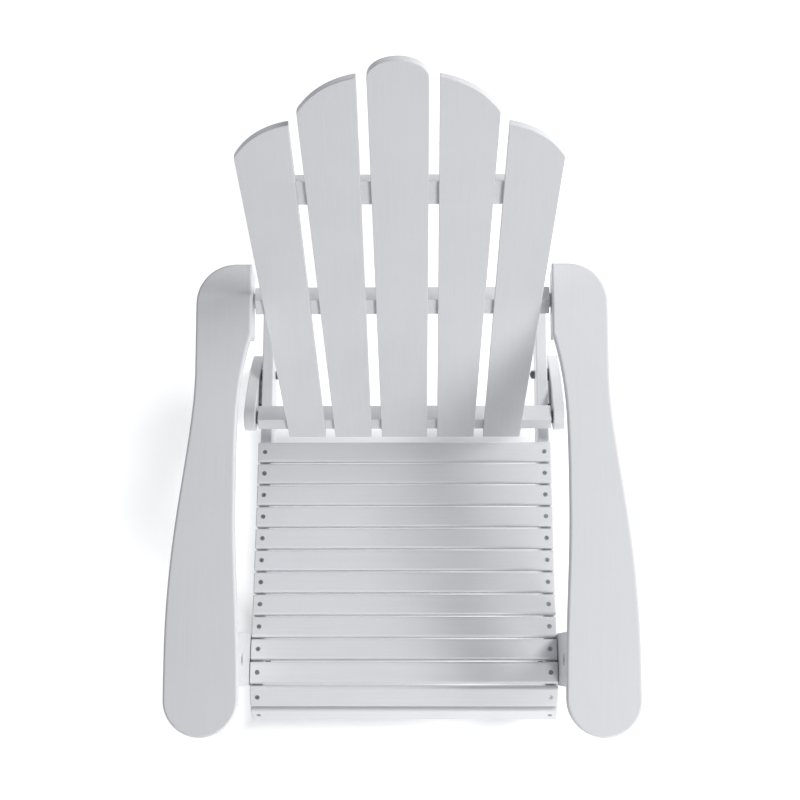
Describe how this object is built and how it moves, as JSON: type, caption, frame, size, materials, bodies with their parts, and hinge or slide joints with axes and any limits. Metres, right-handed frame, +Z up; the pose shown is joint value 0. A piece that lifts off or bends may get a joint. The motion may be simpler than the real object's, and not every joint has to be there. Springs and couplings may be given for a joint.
{
  "type": "adirondack chair",
  "caption": "Folding white-painted timber adirondack chair: fan back of tapered slats, hollowed slatted seat, paddle arms; back, arms and front legs fold down together.",
  "frame": {"origin": "on the floor, under the middle of the chair's footprint box", "axes": "+X to the chair's right seen from the front, -Y the way the chair faces, +Z up"},
  "size_m": [0.732, 0.9432, 0.9616],
  "materials": {
    "painted_timber": "satin white paint on planed timber",
    "screw_steel": "zinc-plated cross-head screws, dulled",
    "bolt_steel": "dark plated steel bolts, nuts and washers",
    "white_nylon": "natural white nylon washers"
  },
  "bodies": {
    "seat_frame": {"leg_pivot_bolts": "bolt_steel", "leg_pivot_nuts": "bolt_steel", "leg_pivot_washers": "bolt_steel", "rear_leg_bolts": "bolt_steel", "rear_leg_left": "painted_timber", "rear_leg_nuts": "bolt_steel", "rear_leg_right": "painted_timber", "rear_leg_spacers": "bolt_steel", "seat_rail_left": "painted_timber", "seat_rail_right": "painted_timber", "seat_slat_01": "painted_timber", "seat_slat_02": "painted_timber", "seat_slat_03": "painted_timber", "seat_slat_04": "painted_timber", "seat_slat_05": "painted_timber", "seat_slat_06": "painted_timber", "seat_slat_07": "painted_timber", "seat_slat_08": "painted_timber", "seat_slat_09": "painted_timber", "seat_slat_10": "painted_timber", "seat_slat_11": "painted_timber", "seat_slat_12": "painted_timber", "seat_slat_13": "painted_timber", "seat_slat_screws": "screw_steel"},
    "back": {"back_pivot_barrels": "bolt_steel", "back_pivot_bolts": "bolt_steel", "back_pivot_washers": "bolt_steel", "back_rail_lower": "painted_timber", "back_rail_middle": "painted_timber", "back_rail_upper": "painted_timber", "back_slat_1": "painted_timber", "back_slat_2": "painted_timber", "back_slat_3": "painted_timber", "back_slat_4": "painted_timber", "back_slat_5": "painted_timber", "back_slat_screws": "screw_steel", "cleat_pivot_barrels": "bolt_steel", "cleat_pivot_bolts": "bolt_steel", "cleat_pivot_washers": "white_nylon"},
    "arm_left": {"arm_bracket_left": "painted_timber", "arm_cleat_left": "painted_timber", "arm_left": "painted_timber", "arm_screws_left": "screw_steel"},
    "arm_right": {"arm_bracket_right": "painted_timber", "arm_cleat_right": "painted_timber", "arm_right": "painted_timber", "arm_screws_right": "screw_steel"},
    "front_leg_left": {"arm_bolt_left": "bolt_steel", "arm_bolt_nut_left": "bolt_steel", "arm_bolt_washers_left": "bolt_steel", "front_leg_left": "painted_timber"},
    "front_leg_right": {"arm_bolt_nut_right": "bolt_steel", "arm_bolt_right": "bolt_steel", "arm_bolt_washers_right": "bolt_steel", "front_leg_right": "painted_timber"}
  },
  "joints": [
    {"name": "back_fold", "type": "hinge", "parent": "seat_frame", "child": "back", "pos_m": [0, 0.0619, 0.29325], "axis": [-1, 0, 0], "range_deg": [0, 45]},
    {"name": "arm_swing_left", "type": "hinge", "parent": "back", "child": "arm_left", "pos_m": [0, 0.21652, 0.534], "axis": [1, 0, 0], "range_deg": [0, 34]},
    {"name": "front_leg_swing_left", "type": "hinge", "parent": "seat_frame", "child": "front_leg_left", "pos_m": [0, -0.35318, 0.32802], "axis": [-1, 0, 0], "range_deg": [0, 56]},
    {"name": "arm_swing_right", "type": "hinge", "parent": "back", "child": "arm_right", "pos_m": [0, 0.21652, 0.534], "axis": [1, 0, 0], "range_deg": [0, 34]},
    {"name": "front_leg_swing_right", "type": "hinge", "parent": "seat_frame", "child": "front_leg_right", "pos_m": [0, -0.35318, 0.32802], "axis": [-1, 0, 0], "range_deg": [0, 56]}
  ],
  "couplings": [
    {"joint": "arm_swing_left", "follows": "back_fold", "ratio": 0.745},
    {"joint": "front_leg_swing_left", "follows": "back_fold", "ratio": 1.22},
    {"joint": "arm_swing_right", "follows": "back_fold", "ratio": 0.745},
    {"joint": "front_leg_swing_right", "follows": "back_fold", "ratio": 1.22}
  ]
}
